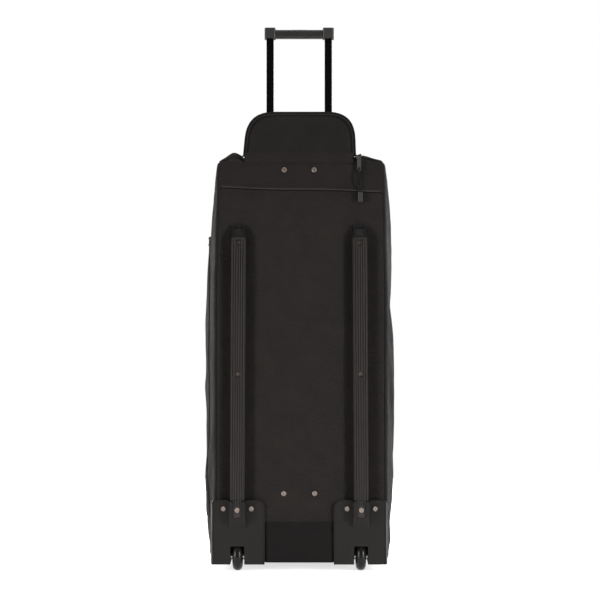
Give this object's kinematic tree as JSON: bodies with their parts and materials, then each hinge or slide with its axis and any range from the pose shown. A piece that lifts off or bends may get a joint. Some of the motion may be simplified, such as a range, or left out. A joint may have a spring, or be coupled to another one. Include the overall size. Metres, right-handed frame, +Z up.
{
  "type": "rolling bowling bag",
  "caption": "Upright wheeled bowling ball bag with pull handle, skid rails, zipped ball bays and a zipped front pocket.",
  "frame": {"origin": "on the floor, under the centre of the bag's box", "axes": "+Z up, +X to the right seen from the wheel side, +Y from the wheel side towards the lid"},
  "size_m": [0.3703, 0.338, 1.024],
  "materials": {
    "ripstop_fabric": "coarse ribbed polyester weave",
    "smooth_fabric": "smooth coated polyester",
    "zip_tape": "woven tape with moulded coil",
    "lining_fabric": "thin woven lining",
    "webbing": "ribbed webbing",
    "cradle_foam": "fabric covered foam",
    "housing_plastic": "fine moulded grain",
    "skid_plastic": "scuffed satin moulding",
    "board_plastic": "extruded sheet",
    "frame_plastic": "satin moulding",
    "grip_plastic": "soft touch moulding",
    "foot_rubber": "matt rubber",
    "black_tube": "gloss black",
    "zinc_steel": "zinc plated",
    "rivet_metal": "dull copper tinted plating",
    "bearing_steel": "ground steel",
    "wheel_tyre": "smooth polyurethane",
    "wheel_hub": "moulded nylon",
    "zip_metal": "black lacquered zinc alloy",
    "pull_plastic": "soft grey moulding",
    "pull_cord": "braided cord"
  },
  "bodies": {
    "bag": {"back_panel": "ripstop_fabric", "base_panel": "smooth_fabric", "top_panel": "smooth_fabric", "side_panel_left": "ripstop_fabric", "side_panel_right": "ripstop_fabric", "front_rim": "ripstop_fabric", "top_band": "smooth_fabric", "base_band": "smooth_fabric", "side_pocket": "ripstop_fabric", "top_grab_handle": "webbing", "base_board": "board_plastic", "outer_tube_left": "black_tube", "outer_tube_right": "black_tube", "trolley_bezel": "frame_plastic", "trolley_bracket": "frame_plastic", "handle_well_tray": "frame_plastic", "lining_panel": "lining_fabric", "bay_dividers": "lining_fabric", "ball_cradles": "cradle_foam", "skid_rail_left": "skid_plastic", "skid_rail_right": "skid_plastic", "frame_rivets": "rivet_metal", "skid_rivets": "rivet_metal", "wheel_housing_left": "housing_plastic", "wheel_housing_right": "housing_plastic", "axles": "zinc_steel", "wheel_spacers": "zinc_steel", "front_feet": "foot_rubber", "rim_zip_tape": "zip_tape", "well_zip_tape": "zip_tape", "flap_slider": "zip_metal"},
    "wheel_left": {"wheel_tyre_left": "wheel_tyre", "wheel_hub_left": "wheel_hub", "wheel_bearings_left": "bearing_steel"},
    "wheel_right": {"wheel_tyre_right": "wheel_tyre", "wheel_hub_right": "wheel_hub", "wheel_bearings_right": "bearing_steel"},
    "handle": {"corner_cap_left": "grip_plastic", "corner_cap_right": "grip_plastic", "grip_bar": "grip_plastic", "inner_tube_left": "black_tube", "inner_tube_right": "black_tube", "tube_glides": "frame_plastic"},
    "release": {"release_button": "grip_plastic", "release_linkage": "zinc_steel"},
    "handle_flap": {"flap_panel": "smooth_fabric", "flap_zip_tape": "zip_tape"},
    "flap_pull": {"flap_pull_tab": "pull_plastic", "flap_pull_cord": "pull_cord", "flap_pull_end": "pull_plastic"},
    "lid": {"lid_panel": "ripstop_fabric", "lid_pocket": "ripstop_fabric", "lid_zip_tape": "zip_tape", "pocket_zip_tape": "zip_tape"},
    "lid_slider_upper": {"lid_slider_upper": "zip_metal"},
    "lid_slider_lower": {"lid_slider_lower": "zip_metal"},
    "lid_pull_upper": {"lid_pull_upper": "pull_plastic"},
    "lid_pull_lower": {"lid_pull_lower": "pull_plastic"},
    "pocket_slider": {"pocket_slider": "zip_metal"},
    "pocket_pull": {"pocket_pull": "pull_plastic"}
  },
  "joints": [
    {"name": "handle_slide", "type": "slide", "parent": "bag", "child": "handle", "axis": [0, 0, 1], "range_m": [-0.257, 0]},
    {"name": "release_press", "type": "slide", "parent": "handle", "child": "release", "axis": [0, 0, 1], "range_m": [-0.003, 0], "stiffness_N_per_m": 1500, "springref_m": 0.002},
    {"name": "wheel_left_spin", "type": "hinge", "parent": "bag", "child": "wheel_left", "pos_m": [-0.116, -0.133, 0.027], "axis": [1, 0, 0], "continuous": true},
    {"name": "wheel_right_spin", "type": "hinge", "parent": "bag", "child": "wheel_right", "pos_m": [0.116, -0.133, 0.027], "axis": [1, 0, 0], "continuous": true},
    {"name": "flap_hinge", "type": "hinge", "parent": "bag", "child": "handle_flap", "pos_m": [0, -0.1495, 0.7735], "axis": [1, 0, 0], "range_deg": [-4, 150]},
    {"name": "flap_pull_swing", "type": "hinge", "parent": "bag", "child": "flap_pull", "pos_m": [0.112, -0.1555, 0.7775], "axis": [-1, 0, 0], "range_deg": [0, 100]},
    {"name": "lid_hinge", "type": "hinge", "parent": "bag", "child": "lid", "pos_m": [-0.146, 0.1505, 0.395], "axis": [0, 0, 1], "range_deg": [0, 120]},
    {"name": "lid_zip_upper", "type": "slide", "parent": "lid", "child": "lid_slider_upper", "axis": [0, 0, 1], "range_m": [0, 0.25]},
    {"name": "lid_zip_lower", "type": "slide", "parent": "lid", "child": "lid_slider_lower", "axis": [0, 0, 1], "range_m": [-0.33, 0]},
    {"name": "lid_pull_upper_swing", "type": "hinge", "parent": "lid_slider_upper", "child": "lid_pull_upper", "pos_m": [0.1457, 0.1565, 0.452], "axis": [1, 0, 0], "range_deg": [0, 120]},
    {"name": "lid_pull_lower_swing", "type": "hinge", "parent": "lid_slider_lower", "child": "lid_pull_lower", "pos_m": [0.1457, 0.1565, 0.4], "axis": [1, 0, 0], "range_deg": [0, 120]},
    {"name": "pocket_zip", "type": "slide", "parent": "lid", "child": "pocket_slider", "axis": [1, 0, 0], "range_m": [-0.16, 0]},
    {"name": "pocket_pull_swing", "type": "hinge", "parent": "pocket_slider", "child": "pocket_pull", "pos_m": [0.084, 0.168, 0.672], "axis": [1, 0, 0], "range_deg": [0, 120]}
  ]
}
